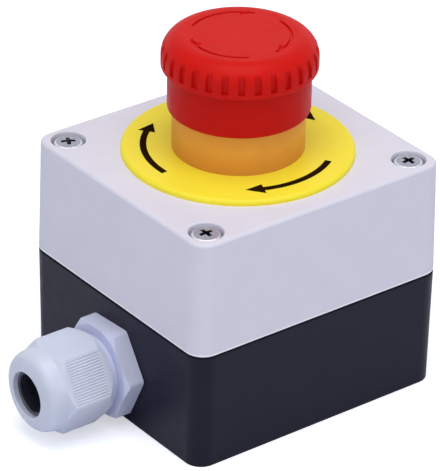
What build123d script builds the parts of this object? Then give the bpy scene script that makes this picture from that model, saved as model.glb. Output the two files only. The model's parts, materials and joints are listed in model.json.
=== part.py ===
from build123d import *
from math import radians, tan
import os

os.makedirs("parts", exist_ok=True)

# Emergency stop push button in a two-part surface enclosure, with a cable gland.
# Millimetres. The origin is the centre of the flat bottom, +Z points from the wall to the red head,
# -X is the side with the cable gland and -Y the side that the legend plate reads towards.

# Enclosure
enclosure_length = 78.4  # along X, at the parting line
enclosure_width = 72.4  # along Y, at the parting line
base_height = 32.5
cover_height = 31.6
corner_radius = 5.2
wall = 2.8
floor_thickness = 2.5
cover_thickness = 3.0
base_draft = 0.8  # degrees, the base narrows towards the wall
cover_draft = 1.2  # degrees, the cover narrows towards the button
cover_edge_radius = 1.0
base_edge_radius = 0.3
seam_chamfer = 0.3
groove_inset = 0.9  # from the outer face to the gasket's groove
groove_width = 1.2
groove_depth = 1.2
gasket_clearance = 0.05

# Cover screws and their posts
screw_inset = 7.0  # from the outer faces at the parting line to the screw's axis
screw_radius = 2.0
screw_head_radius = 3.9
screw_head_height = 2.4
screw_head_fillet = 0.6
screw_length = 36.0  # under the head
screw_hole_radius = 2.2
screw_seat_radius = 4.5
screw_seat_depth = 3.0
screw_seat_edge_radius = 0.3
post_radius = 5.7
thread_clearance = 0.05
pilot_extra = 1.0  # depth of a pilot hole below its screw

# Fixing holes in the floor
fixing_spacing_x = 44.0
fixing_spacing_y = 48.0
fixing_hole_radius = 2.25

# Legend plate
ring_radius = 30.0
ring_thickness = 1.5
ring_edge_radius = 1.1

# Operator: the fixed collar with its 22 mm barrel, and what clamps it to the cover
barrel_radius = 11.0
barrel_length = 15.5  # below the cover's top face
barrel_chamfer = 0.6
bore_radius = 8.5
panel_clearance = 0.15
key_width = 3.0
key_height = 1.0
collar_radius = 17.0
collar_wall = 2.0
collar_floor = 3.0
collar_edge_radius = 0.8
seal_groove_radius = 12.2
seal_groove_width = 2.4
seal_thickness = 1.0
seal_clearance = 0.1
washer_radius = 15.5
washer_thickness = 0.8
washer_teeth = 16
washer_slot_depth = 1.0
washer_slot_width = 1.6
nut_across_flats = 30.0
nut_thickness = 5.0
nut_chamfer = 1.0

# Button
travel = 5.5
head_radius = 20.0
head_top = 32.6  # above the cover
head_height = 8.5
head_edge_radius = 5.4
head_rim_radius = 0.5
head_roof = 3.0
head_rim_wall = 3.0
notch_count = 30
notch_width = 1.65
notch_depth = 0.8
notch_start = 1.5  # above the rim's underside
notch_angle = 5.6  # degrees, middle of the first notch
arrow_count = 3
arrow_radius = 12.8
arrow_width = 0.75
arrow_depth = 0.4
arrow_tip_angle = 36.5  # degrees, where the first of the three arrows ends
arrow_sweep = 85.5
arrow_barb_sweep = 16.0
arrow_barb_width = 1.7
skirt_radius = 18.3
skirt_wall = 1.0
skirt_length = 11.6
skirt_edge_radius = 0.8
skirt_web = 2.2
spigot_height = 2.6
spigot_step = 0.25
fit_clearance = 0.05
sliding_clearance = 0.08
stop_clearance = 0.4

# Shaft, pusher and latch inside the barrel
shaft_radius = 4.5
shaft_square = 6.0
lobe_radius = 6.6
lobe_width = 5.0
lobe_height = 2.2
pusher_flange_radius = 12.5
pusher_flange = 2.0
spring_pocket_radius = 7.4
spring_pocket_depth = 8.0
foot_radius = 10.0
foot_floor = 1.8
foot_cavity_radius = 7.4
foot_cavity_height = 3.0
foot_socket_depth = 2.0
foot_chamfer = 0.5
pin_radius = 1.5
pin_drop = 2.5  # from the cover's top face down to the latch pins
latch_groove_depth = 1.0
return_spring_radius = 11.2
return_spring_wire = 1.3
return_spring_turns = 5
torsion_spring_radius = 6.0
torsion_spring_wire = 0.9
torsion_spring_turns = 5
coil_sides = 8  # faces round each spring's wire
small_screw_radius = 1.5
small_screw_head_radius = 2.8
small_screw_head_height = 1.8
small_screw_head_fillet = 0.7
shaft_screw_length = 10.0

# Contact carrier
carrier_radius = 14.2
carrier_grip = 6.0  # length of barrel that it holds
carrier_cavity_radius = 11.6
carrier_flange_length = 31.0
carrier_flange_width = 27.0
carrier_flange = 3.0
carrier_corner_radius = 3.0

# Contact blocks, one normally closed and one normally open
block_width = 13.0  # along X
block_length = 34.0  # along Y
block_height = 20.0
block_gap = 0.6
block_wall = 1.2
block_roof = 2.0
chamber_half_length = 9.0
well_wall = 1.5
well_height = 13.0
hook_width = 5.0
hook_thickness = 1.3
hook_nose = 0.9
plunger_radius = 2.0
plunger_body_width = 5.2
plunger_body_length = 6.0
plunger_body_height = 7.1
plunger_shoulder_gap = 0.3
bridge_width = 4.0
bridge_length = 14.0
bridge_thickness = 0.8
strip_width = 5.0
strip_thickness = 0.8
strip_end_gap = 0.6
strip_reach = 4.0  # from the block's centre to the strip's inner end
strip_bend = 8.2
strip_level = 9.0  # of the outer tab, below the block's top
closed_strip_level = 6.0
open_strip_level = 13.4
tip_radius = 1.2
tip_height = 0.5
tip_place = 5.4
tip_gap = 0.05
terminal_place = 13.6
terminal_screw_length = 3.6
terminal_slot_width = 0.8
terminal_slot_depth = 0.7
clamp_size = 5.6
clamp_thickness = 1.2
contact_spring_radius = 1.9
contact_spring_wire = 0.5
contact_spring_turns = 4

# Cable gland
gland_height = 14.3
gland_across_flats = 24.0
gland_flange = 5.0
gland_flange_chamfer = 0.9
gland_corner_fillet = 1.5
gland_angle = 4.0  # degrees that the flange is turned from corners level
gland_thread_radius = 9.3
gland_bore_radius = 6.9
gland_neck_length = 8.0  # outer thread, from the flange
gland_inner_length = 9.0  # inner thread, from the flange's wall side
finger_length = 4.5
finger_count = 8
finger_slot = 1.0
finger_shoulder = 0.9  # step from the thread's end to the fingers' cone
finger_tip_wall = 0.6
cap_gap = 1.8  # free thread between the flange and the cap nut
cap_across_flats = 22.0
cap_corner_fillet = 0.4
cap_angle = -2.0  # degrees, as the flange's
cap_rear_radius = 10.8
cap_rear_chamfer = 3.0
cap_hex_length = 14.5
cap_front_chamfer = 1.8
cap_dome_radius = 11.0
cap_dome_length = 7.9
cap_dome_fullness = 0.7  # share of the dome's length that keeps its full radius
cap_dome_front = 3.3  # width of the dome's blunt end beyond the lip
cap_length = 19.4
cap_mouth_radius = 6.3
cap_lip_radius = 1.5
cap_cone_length = 2.0
cap_thread_clearance = 0.1
cap_travel = 1.5  # one turn of the thread
seal_outer_radius = 6.7
seal_mouth_radius = 6.1
seal_bore_radius = 4.75
seal_front_depth = 2.2  # from the cap nut's front to the seal's front
seal_length = 15.0
seal_shoulder = 1.0
seal_edge_chamfer = 0.4
locknut_across_flats = 22.0
locknut_thickness = 4.5
gland_washer_groove = 1.0
gland_washer_radius = 10.3
seat_gap = 0.05

# Levels and places that follow from the sizes above
panel_top = base_height + cover_height
panel_underside = panel_top - cover_thickness
ring_top = panel_top + ring_thickness
barrel_end = panel_top - barrel_length
panel_hole_radius = barrel_radius + panel_clearance
head_roof_top = panel_top + head_top
head_bottom = head_roof_top - head_height
skirt_bottom = head_bottom - skirt_length
web_top = head_bottom + spigot_height
web_underside = web_top - skirt_web
collar_top = web_underside - travel - stop_clearance
collar_cavity_floor = ring_top + collar_floor
collar_inner_radius = collar_radius - collar_wall
pusher_top = web_underside - stop_clearance / 2
flange_underside = pusher_top - pusher_flange
foot_top = barrel_end - stop_clearance / 2
pusher_bottom = foot_top - foot_socket_depth
foot_bottom = pusher_bottom - foot_cavity_height - foot_floor
block_top = foot_bottom - travel - stop_clearance
carrier_top = barrel_end + carrier_grip
pin_level = panel_top - pin_drop
screw_x = enclosure_length - 2 * screw_inset
screw_y = enclosure_width - 2 * screw_inset
screw_seat = panel_top - screw_seat_depth
base_slope = tan(radians(base_draft))
seam_up = Plane.XY.offset(base_height)
seam_down = Plane(origin=(0, 0, base_height), x_dir=(1, 0, 0), z_dir=(0, 0, -1))


def wall_face(z, depth=0.0):
    """Distance from the middle to the base's end wall at a height, at a depth inside its outer face."""
    return enclosure_length / 2 - depth - (base_height - z) * base_slope


# Base of the enclosure
with BuildPart() as enclosure_base:
    with BuildSketch(seam_down):
        RectangleRounded(enclosure_length, enclosure_width, corner_radius)
    extrude(amount=base_height, taper=base_draft)
    fillet(enclosure_base.faces().sort_by(Axis.Z)[0].edges(), base_edge_radius)
    chamfer(enclosure_base.faces().sort_by(Axis.Z)[-1].edges(), seam_chamfer)
    with BuildSketch(seam_down):
        RectangleRounded(enclosure_length - 2 * wall, enclosure_width - 2 * wall, corner_radius - wall)
    extrude(amount=base_height - floor_thickness, taper=base_draft, mode=Mode.SUBTRACT)
    with BuildSketch(Plane.XY.offset(floor_thickness)):
        with GridLocations(screw_x, screw_y, 2, 2):
            Circle(post_radius)
    extrude(amount=base_height - floor_thickness)
    with BuildSketch(seam_down):
        inset = groove_inset
        RectangleRounded(enclosure_length - 2 * inset, enclosure_width - 2 * inset, corner_radius - inset)
        inset = groove_inset + groove_width
        RectangleRounded(enclosure_length - 2 * inset, enclosure_width - 2 * inset, corner_radius - inset,
                         mode=Mode.SUBTRACT)
    extrude(amount=groove_depth, mode=Mode.SUBTRACT)
    with BuildSketch(seam_down):
        with GridLocations(screw_x, screw_y, 2, 2):
            Circle(screw_radius + thread_clearance)
    extrude(amount=screw_length + screw_seat_depth - cover_height + pilot_extra, mode=Mode.SUBTRACT)
    with BuildSketch(Plane.XY):
        with GridLocations(fixing_spacing_x, fixing_spacing_y, 2, 2):
            Circle(fixing_hole_radius)
    extrude(amount=floor_thickness, mode=Mode.SUBTRACT)
    with BuildSketch(Plane(origin=(-enclosure_length / 2, 0, gland_height), z_dir=(1, 0, 0))):
        Circle(gland_thread_radius + panel_clearance)
    extrude(amount=2 * wall, mode=Mode.SUBTRACT)
enclosure_base.part.label = "enclosure_base"
export_step(enclosure_base.part, "parts/enclosure_base.step")

# Cover of the enclosure
with BuildPart() as enclosure_cover:
    with BuildSketch(seam_up):
        RectangleRounded(enclosure_length, enclosure_width, corner_radius)
    extrude(amount=cover_height, taper=cover_draft)
    fillet(enclosure_cover.faces().sort_by(Axis.Z)[-1].edges(), cover_edge_radius)
    chamfer(enclosure_cover.faces().sort_by(Axis.Z)[0].edges(), seam_chamfer)
    with BuildSketch(seam_up):
        RectangleRounded(enclosure_length - 2 * wall, enclosure_width - 2 * wall, corner_radius - wall)
    extrude(amount=cover_height - cover_thickness, taper=cover_draft, mode=Mode.SUBTRACT)
    with BuildSketch(seam_up):
        with GridLocations(screw_x, screw_y, 2, 2):
            Circle(post_radius)
    extrude(amount=cover_height - cover_thickness)
    with Locations((0, 0, panel_top)):
        with GridLocations(screw_x, screw_y, 2, 2):
            CounterBoreHole(screw_hole_radius, screw_seat_radius, screw_seat_depth, depth=cover_height)
    top_circles = enclosure_cover.edges().group_by(Axis.Z)[-1].filter_by(GeomType.CIRCLE)
    fillet(top_circles.group_by(SortBy.RADIUS)[-1], screw_seat_edge_radius)
    with Locations((0, 0, panel_top)):
        Hole(panel_hole_radius, depth=cover_thickness)
    with BuildSketch(Plane.XY.offset(panel_underside)):
        with Locations((0, -barrel_radius)):
            Rectangle(key_width + 2 * panel_clearance, 2 * (key_height + panel_clearance))
    extrude(amount=cover_thickness, mode=Mode.SUBTRACT)
enclosure_cover.part.label = "enclosure_cover"
export_step(enclosure_cover.part, "parts/enclosure_cover.step")

# Gasket in the base's groove
with BuildPart() as cover_gasket:
    with BuildSketch(seam_down):
        inset = groove_inset + gasket_clearance
        RectangleRounded(enclosure_length - 2 * inset, enclosure_width - 2 * inset, corner_radius - inset)
        inset = groove_inset + groove_width - gasket_clearance
        RectangleRounded(enclosure_length - 2 * inset, enclosure_width - 2 * inset, corner_radius - inset,
                         mode=Mode.SUBTRACT)
    extrude(amount=groove_depth)
cover_gasket.part.label = "cover_gasket"
export_step(cover_gasket.part, "parts/cover_gasket.step")

# Cover screws: pan heads in the sunk seats
with BuildPart() as cover_screws:
    with BuildSketch(Plane.XY.offset(screw_seat)):
        with GridLocations(screw_x, screw_y, 2, 2):
            Circle(screw_head_radius)
    extrude(amount=screw_head_height)
    fillet(cover_screws.edges().group_by(Axis.Z)[-1], screw_head_fillet)
    with BuildSketch(Plane.XY.offset(screw_seat - screw_length)):
        with GridLocations(screw_x, screw_y, 2, 2):
            Circle(screw_radius)
    extrude(amount=screw_length)
cover_screws.part.label = "cover_screws"
export_step(cover_screws.part, "parts/cover_screws.step")

# Legend plate: a bare ring with a rounded rim, notched for the barrel's key
with BuildPart() as legend_ring:
    with BuildSketch(Plane.XY.offset(panel_top)):
        Circle(ring_radius)
    extrude(amount=ring_thickness)
    fillet(legend_ring.edges().sort_by(Axis.Z)[-1], ring_edge_radius)
    with BuildSketch(Plane.XY.offset(panel_top)):
        Circle(panel_hole_radius)
        with Locations((0, -barrel_radius)):
            Rectangle(key_width + 2 * panel_clearance, 2 * (key_height + panel_clearance))
    extrude(amount=ring_thickness, mode=Mode.SUBTRACT)
legend_ring.part.label = "legend_ring"
export_step(legend_ring.part, "parts/legend_ring.step")

# Collar and barrel of the operator, one moulding
with BuildPart() as operator_body:
    with BuildSketch(Plane.XZ):
        with BuildLine():
            Polyline(
                (bore_radius, barrel_end),
                (barrel_radius, barrel_end),
                (barrel_radius, ring_top),
                (collar_radius, ring_top),
                (collar_radius, collar_top),
                (collar_inner_radius, collar_top),
                (collar_inner_radius, collar_cavity_floor),
                (bore_radius, collar_cavity_floor),
                close=True,
            )
        make_face()
    revolve(axis=Axis.Z)
    fillet(operator_body.edges().group_by(Axis.Z)[-1].sort_by(SortBy.RADIUS)[-1], collar_edge_radius)
    chamfer(operator_body.edges().group_by(Axis.Z)[0].sort_by(SortBy.RADIUS)[-1], barrel_chamfer)
    with BuildSketch(Plane.XY.offset(panel_underside)):
        with Locations((0, -barrel_radius)):
            Rectangle(key_width, 2 * key_height)
    extrude(amount=ring_top - panel_underside)
    with BuildSketch(Plane.XY.offset(ring_top)):
        Circle(seal_groove_radius + seal_groove_width)
        Circle(seal_groove_radius, mode=Mode.SUBTRACT)
    extrude(amount=seal_thickness, mode=Mode.SUBTRACT)
    latch_groove_half = pin_radius + stop_clearance
    with BuildSketch(Plane.XY.offset(pin_level - travel - latch_groove_half)):
        Circle(bore_radius + latch_groove_depth)
    extrude(amount=2 * latch_groove_half, mode=Mode.SUBTRACT)
operator_body.part.label = "operator_body"
export_step(operator_body.part, "parts/operator_body.step")

# Rubber seal in the groove under the collar
with BuildPart() as panel_seal:
    with BuildSketch(Plane.XY.offset(ring_top)):
        Circle(seal_groove_radius + seal_groove_width - seal_clearance)
        Circle(seal_groove_radius + seal_clearance, mode=Mode.SUBTRACT)
    extrude(amount=seal_thickness)
panel_seal.part.label = "panel_seal"
export_step(panel_seal.part, "parts/panel_seal.step")

# Toothed lock washer under the cover
washer_underside = panel_underside - washer_thickness
with BuildPart() as lock_washer:
    with BuildSketch(Plane.XY.offset(washer_underside)):
        Circle(washer_radius)
        with PolarLocations(washer_radius, washer_teeth):
            Rectangle(2 * washer_slot_depth, washer_slot_width, mode=Mode.SUBTRACT)
        Circle(panel_hole_radius, mode=Mode.SUBTRACT)
    extrude(amount=washer_thickness)
lock_washer.part.label = "lock_washer"
export_step(lock_washer.part, "parts/lock_washer.step")

# Hexagon nut that clamps the operator to the cover
with BuildPart() as mounting_nut:
    with BuildSketch(Plane.XY.offset(washer_underside - nut_thickness)):
        RegularPolygon(nut_across_flats / 2, 6, major_radius=False)
        Circle(barrel_radius + thread_clearance, mode=Mode.SUBTRACT)
    extrude(amount=nut_thickness)
    nut_corner_radius = nut_across_flats / 3**0.5
    with BuildSketch(Plane.XZ):
        with BuildLine():
            Polyline(
                (0, washer_underside),
                (nut_corner_radius, washer_underside),
                (nut_corner_radius, washer_underside - nut_thickness + nut_chamfer),
                (nut_across_flats / 2, washer_underside - nut_thickness),
                (0, washer_underside - nut_thickness),
                close=True,
            )
        make_face()
    revolve(axis=Axis.Z, mode=Mode.INTERSECT)
mounting_nut.part.label = "mounting_nut"
export_step(mounting_nut.part, "parts/mounting_nut.step")

# Mushroom head: turned cap with a notched rim and three engraved turning arrows
with BuildPart() as mushroom_head:
    with BuildSketch(Plane.XY.offset(head_bottom)):
        Circle(head_radius)
    extrude(amount=head_height)
    fillet(mushroom_head.edges().sort_by(Axis.Z)[-1], head_edge_radius)
    fillet(mushroom_head.edges().sort_by(Axis.Z)[0], head_rim_radius)
    with BuildSketch(Plane.XY.offset(head_bottom + notch_start)):
        with PolarLocations(head_radius, notch_count, start_angle=notch_angle):
            Rectangle(2 * notch_depth, notch_width)
    extrude(amount=head_height, mode=Mode.SUBTRACT)
    with BuildSketch(Plane.XY.offset(head_bottom)):
        Circle(skirt_radius - spigot_step + fit_clearance)
    extrude(amount=spigot_height + fit_clearance, mode=Mode.SUBTRACT)
    with BuildSketch(Plane.XY.offset(web_top)):
        Circle(head_radius - notch_depth - head_rim_wall)
    extrude(amount=head_roof_top - head_roof - web_top, mode=Mode.SUBTRACT)
    with BuildSketch(Plane.XY.offset(head_roof_top - arrow_depth)):
        for turn in range(arrow_count):
            tip_angle = arrow_tip_angle + turn * 360 / arrow_count
            with BuildLine():
                CenterArc((0, 0), arrow_radius, tip_angle, arrow_sweep)
            trace(line_width=arrow_width)
            with BuildLine():
                outer = CenterArc((0, 0), arrow_radius + arrow_width / 2, tip_angle, arrow_barb_sweep)
                barb_angle = tip_angle + arrow_barb_sweep
                barb = Vector(arrow_radius - arrow_barb_width, 0).rotate(Axis.Z, barb_angle)
                Polyline(outer @ 1, barb, outer @ 0)
            make_face()
    extrude(amount=2 * arrow_depth, mode=Mode.SUBTRACT)
mushroom_head.part.label = "mushroom_head"
export_step(mushroom_head.part, "parts/mushroom_head.step")

# Skirt of the head: a sleeve over the collar, closed by a web with a square socket
with BuildPart() as head_skirt:
    with BuildSketch(Plane.XZ):
        with BuildLine():
            Polyline(
                (0, web_underside),
                (skirt_radius - skirt_wall, web_underside),
                (skirt_radius - skirt_wall, skirt_bottom),
                (skirt_radius, skirt_bottom),
                (skirt_radius, head_bottom),
                (skirt_radius - spigot_step, head_bottom),
                (skirt_radius - spigot_step, web_top),
                (0, web_top),
                close=True,
            )
        make_face()
    revolve(axis=Axis.Z)
    fillet(head_skirt.edges().group_by(Axis.Z)[0].sort_by(SortBy.RADIUS)[-1], skirt_edge_radius)
    with BuildSketch(Plane.XY.offset(web_underside)):
        Rectangle(shaft_square + 2 * fit_clearance, shaft_square + 2 * fit_clearance)
    extrude(amount=skirt_web, mode=Mode.SUBTRACT)
head_skirt.part.label = "head_skirt"
export_step(head_skirt.part, "parts/head_skirt.step")

# Shaft that turns with the head; its two lobes hold it under the pusher
lobe_top = pusher_bottom - stop_clearance
with BuildPart() as twist_shaft:
    with BuildSketch(Plane.XY.offset(lobe_top - lobe_height)):
        Circle(lobe_radius)
        Rectangle(2 * lobe_radius, lobe_width, mode=Mode.INTERSECT)
        Circle(shaft_radius)
    extrude(amount=lobe_height)
    with BuildSketch(Plane.XY.offset(lobe_top)):
        Circle(shaft_radius)
    extrude(amount=web_underside - lobe_top)
    with BuildSketch(Plane.XY.offset(web_underside)):
        Rectangle(shaft_square, shaft_square)
    extrude(amount=skirt_web)
    with Locations((0, 0, web_top)):
        Hole(small_screw_radius + thread_clearance, depth=shaft_screw_length + pilot_extra)
twist_shaft.part.label = "twist_shaft"
export_step(twist_shaft.part, "parts/twist_shaft.step")

# Screw that holds the head on the shaft, under the cap
with BuildPart() as shaft_screw:
    with BuildSketch(Plane.XY.offset(web_top)):
        Circle(small_screw_head_radius)
    extrude(amount=small_screw_head_height)
    fillet(shaft_screw.edges().group_by(Axis.Z)[-1], small_screw_head_fillet)
    with BuildSketch(Plane.XY.offset(web_top - shaft_screw_length)):
        Circle(small_screw_radius)
    extrude(amount=shaft_screw_length)
shaft_screw.part.label = "shaft_screw"
export_step(shaft_screw.part, "parts/shaft_screw.step")

# Pusher: sleeve round the shaft, with the return spring's flange and bores for the latch pins
pusher_radius = bore_radius - sliding_clearance
pusher_bore_radius = shaft_radius + sliding_clearance
with BuildPart() as pusher:
    with BuildSketch(Plane.XZ):
        with BuildLine():
            Polyline(
                (pusher_bore_radius, pusher_bottom),
                (pusher_radius, pusher_bottom),
                (pusher_radius, flange_underside),
                (pusher_flange_radius, flange_underside),
                (pusher_flange_radius, pusher_top),
                (spring_pocket_radius, pusher_top),
                (spring_pocket_radius, pusher_top - spring_pocket_depth),
                (pusher_bore_radius, pusher_top - spring_pocket_depth),
                close=True,
            )
        make_face()
    revolve(axis=Axis.Z)
    with BuildSketch(Plane(origin=(0, pusher_radius, pin_level), z_dir=(0, -1, 0))):
        Circle(pin_radius + fit_clearance)
    extrude(amount=2 * pusher_radius, mode=Mode.SUBTRACT)
pusher.part.label = "pusher"
export_step(pusher.part, "parts/pusher.step")

# Two latch pins in the pusher, level with the barrel's groove when the button is down
with BuildPart() as latch_pins:
    for side in (-1, 1):
        inner_end = shaft_radius + stop_clearance
        with BuildSketch(Plane(origin=(0, side * inner_end, pin_level), z_dir=(0, side, 0))):
            Circle(pin_radius)
        extrude(amount=pusher_radius - inner_end - fit_clearance)
latch_pins.part.label = "latch_pins"
export_step(latch_pins.part, "parts/latch_pins.step")

# Foot of the pusher, a cup round the lobes that presses on both plungers
with BuildPart() as pusher_foot:
    with BuildSketch(Plane.XZ):
        with BuildLine():
            socket_radius = pusher_radius + fit_clearance
            Polyline(
                (0, foot_bottom),
                (foot_radius, foot_bottom),
                (foot_radius, foot_top),
                (socket_radius, foot_top),
                (socket_radius, pusher_bottom),
                (foot_cavity_radius, pusher_bottom),
                (foot_cavity_radius, foot_bottom + foot_floor),
                (0, foot_bottom + foot_floor),
                close=True,
            )
        make_face()
    revolve(axis=Axis.Z)
    chamfer(pusher_foot.edges().group_by(Axis.Z)[0], foot_chamfer)
pusher_foot.part.label = "pusher_foot"
export_step(pusher_foot.part, "parts/pusher_foot.step")


def coil(radius, wire, turns, low, high):
    """Wire wound round the Z axis between two levels, clear of both by a seat gap."""
    start = low + wire / 2 + seat_gap
    height = high - low - wire - 2 * seat_gap
    with BuildPart() as spring:
        with BuildLine():
            path = Helix(pitch=height / turns, height=height, radius=radius, center=(0, 0, start))
        with BuildSketch(Plane(origin=path @ 0, z_dir=path % 0)):
            RegularPolygon(wire / 2, coil_sides)
        sweep(path=path, is_frenet=True)
    return spring.part


# Return spring round the pusher, from the collar's floor to the pusher's flange
with BuildPart() as return_spring:
    add(coil(return_spring_radius, return_spring_wire, return_spring_turns,
             collar_cavity_floor, flange_underside))
return_spring.part.label = "return_spring"
export_step(return_spring.part, "parts/return_spring.step")

# Torsion spring round the shaft, in the pusher's pocket
with BuildPart() as torsion_spring:
    add(coil(torsion_spring_radius, torsion_spring_wire, torsion_spring_turns,
             pusher_top - spring_pocket_depth, pusher_top))
torsion_spring.part.label = "torsion_spring"
export_step(torsion_spring.part, "parts/torsion_spring.step")

# Contact carrier: collar on the end of the barrel with a flange for both contact blocks
grub_level = barrel_end + carrier_grip / 2
with BuildPart() as contact_carrier:
    with BuildSketch(Plane.XY.offset(block_top)):
        Circle(carrier_radius)
    extrude(amount=carrier_top - block_top)
    with BuildSketch(Plane.XY.offset(block_top)):
        RectangleRounded(carrier_flange_width, carrier_flange_length, carrier_corner_radius)
    extrude(amount=carrier_flange)
    with Locations((0, 0, carrier_top)):
        Hole(barrel_radius + thread_clearance, depth=carrier_top - block_top)
    with BuildSketch(Plane.XY.offset(block_top)):
        Circle(carrier_cavity_radius)
    extrude(amount=barrel_end - block_top, mode=Mode.SUBTRACT)
    with BuildSketch(Plane(origin=(0, carrier_radius, grub_level), z_dir=(0, -1, 0))):
        Circle(small_screw_radius + thread_clearance)
    extrude(amount=2 * carrier_radius, mode=Mode.SUBTRACT)
contact_carrier.part.label = "contact_carrier"
export_step(contact_carrier.part, "parts/contact_carrier.step")

# Two grub screws that clamp the carrier on the barrel
with BuildPart() as carrier_screws:
    for side in (-1, 1):
        inner_end = barrel_radius + seat_gap
        with BuildSketch(Plane(origin=(0, side * inner_end, grub_level), z_dir=(0, side, 0))):
            Circle(small_screw_radius)
        extrude(amount=carrier_radius - inner_end)
carrier_screws.part.label = "carrier_screws"
export_step(carrier_screws.part, "parts/carrier_screws.step")


def box_between(low, high, mode=Mode.ADD):
    """Block between two opposite corners, in the builder that calls it."""
    with Locations(tuple((a + b) / 2 for a, b in zip(low, high))):
        Box(*(abs(b - a) for a, b in zip(low, high)), mode=mode)


# Contact blocks: the same housing, plunger and terminals, with the strips above or below the bridge
block_bottom = block_top - block_height
chamber_floor = block_bottom + block_roof
tab_level = block_top - strip_level
for kind, side in (("nc", -1), ("no", 1)):
    middle = side * (block_width + block_gap) / 2
    closed_side = middle - side * block_width / 2
    open_side = middle + side * (block_width / 2 - block_wall)
    inner_side = closed_side + side * block_wall
    if kind == "nc":
        strip_z = block_top - closed_strip_level
        facing = -1
        bridge_contact = strip_z - strip_thickness / 2 - tip_height - tip_gap
    else:
        strip_z = block_top - open_strip_level
        facing = 1
        bridge_contact = strip_z + strip_thickness / 2 + tip_height + tip_gap + travel
    bridge_z = bridge_contact + facing * (tip_height + bridge_thickness / 2)

    with BuildPart() as housing:
        box_between((closed_side, -block_length / 2, block_bottom),
                    (open_side, block_length / 2, block_top))
        box_between((inner_side, -chamber_half_length, chamber_floor),
                    (open_side, chamber_half_length, block_top - block_roof), Mode.SUBTRACT)
        for end in (-1, 1):
            well_start = end * (chamber_half_length + well_wall)
            box_between((inner_side, well_start, block_bottom),
                        (open_side, end * block_length / 2, block_bottom + well_height), Mode.SUBTRACT)
            box_between((middle - strip_width / 2 - seat_gap, end * chamber_half_length,
                         tab_level - strip_thickness / 2 - seat_gap),
                        (open_side if side > 0 else middle + strip_width / 2 + seat_gap, well_start,
                         tab_level + strip_thickness / 2 + seat_gap), Mode.SUBTRACT)
            flange_end = carrier_flange_length / 2 + seat_gap
            box_between((middle - hook_width / 2, end * flange_end, block_top),
                        (middle + hook_width / 2, end * (flange_end + hook_thickness),
                         block_top + carrier_flange + seat_gap + hook_thickness))
            box_between((middle - hook_width / 2, end * (flange_end - hook_nose),
                         block_top + carrier_flange + seat_gap),
                        (middle + hook_width / 2, end * (flange_end + hook_thickness),
                         block_top + carrier_flange + seat_gap + hook_thickness))
        with Locations((middle, 0, block_top)):
            Hole(plunger_radius + sliding_clearance, depth=block_roof)
    housing.part.label = f"{kind}_housing"
    export_step(housing.part, f"parts/{kind}_housing.step")

    with BuildPart() as side_cover:
        box_between((open_side, -block_length / 2, block_bottom),
                    (open_side + side * block_wall, block_length / 2, block_top))
    side_cover.part.label = f"{kind}_side_cover"
    export_step(side_cover.part, f"parts/{kind}_side_cover.step")

    strip_side = Plane(origin=(middle - strip_width / 2, 0, 0), x_dir=(0, 1, 0), z_dir=(1, 0, 0))
    with BuildPart() as fixed_contacts:
        for end in (-1, 1):
            with BuildSketch(strip_side):
                with BuildLine():
                    Polyline(
                        (end * (block_length / 2 - strip_end_gap), tab_level),
                        (end * strip_bend, tab_level),
                        (end * strip_bend, strip_z),
                        (end * strip_reach, strip_z),
                    )
                trace(line_width=strip_thickness)
            extrude(amount=strip_width)
            with BuildSketch(Plane(origin=(middle, end * tip_place, strip_z), z_dir=(0, 0, facing))):
                Circle(tip_radius)
            extrude(amount=strip_thickness / 2 + tip_height)
            with BuildSketch(Plane.XY.offset(tab_level - strip_thickness)):
                with Locations((middle, end * terminal_place)):
                    Circle(small_screw_radius + thread_clearance)
            extrude(amount=2 * strip_thickness, mode=Mode.SUBTRACT)
    fixed_contacts.part.label = f"{kind}_fixed_contacts"
    export_step(fixed_contacts.part, f"parts/{kind}_fixed_contacts.step")

    clamp_top = tab_level - strip_thickness / 2 - seat_gap
    with BuildPart() as clamp_plates:
        with BuildSketch(Plane.XY.offset(clamp_top - clamp_thickness)):
            with Locations((middle, -terminal_place), (middle, terminal_place)):
                Rectangle(clamp_size, clamp_size)
                Circle(small_screw_radius + thread_clearance, mode=Mode.SUBTRACT)
        extrude(amount=clamp_thickness)
    clamp_plates.part.label = f"{kind}_clamp_plates"
    export_step(clamp_plates.part, f"parts/{kind}_clamp_plates.step")

    head_level = clamp_top - clamp_thickness
    with BuildPart() as terminal_screws:
        with BuildSketch(Plane.XY.offset(head_level - small_screw_head_height)):
            with Locations((middle, -terminal_place), (middle, terminal_place)):
                Circle(small_screw_head_radius)
        extrude(amount=small_screw_head_height)
        with BuildSketch(Plane.XY.offset(head_level - small_screw_head_height)):
            with Locations((middle, -terminal_place), (middle, terminal_place)):
                Rectangle(terminal_slot_width, 2 * small_screw_head_radius)
        extrude(amount=terminal_slot_depth, mode=Mode.SUBTRACT)
        with BuildSketch(Plane.XY.offset(head_level)):
            with Locations((middle, -terminal_place), (middle, terminal_place)):
                Circle(small_screw_radius)
        extrude(amount=terminal_screw_length)
    terminal_screws.part.label = f"{kind}_terminal_screws"
    export_step(terminal_screws.part, f"parts/{kind}_terminal_screws.step")

    shoulder = block_top - block_roof - plunger_shoulder_gap
    plunger_bottom = shoulder - plunger_body_height
    with BuildPart() as plunger:
        box_between((middle - plunger_body_width / 2, -plunger_body_length / 2, plunger_bottom),
                    (middle + plunger_body_width / 2, plunger_body_length / 2, shoulder))
        with BuildSketch(Plane.XY.offset(shoulder)):
            with Locations((middle, 0)):
                Circle(plunger_radius)
        extrude(amount=foot_bottom - seat_gap - shoulder)
        box_between((middle - bridge_width / 2 - seat_gap, -plunger_body_length / 2,
                     bridge_z - bridge_thickness / 2 - seat_gap),
                    (middle + bridge_width / 2 + seat_gap, plunger_body_length / 2,
                     bridge_z + bridge_thickness / 2 + seat_gap), Mode.SUBTRACT)
    plunger.part.label = f"{kind}_plunger"
    export_step(plunger.part, f"parts/{kind}_plunger.step")

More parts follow.
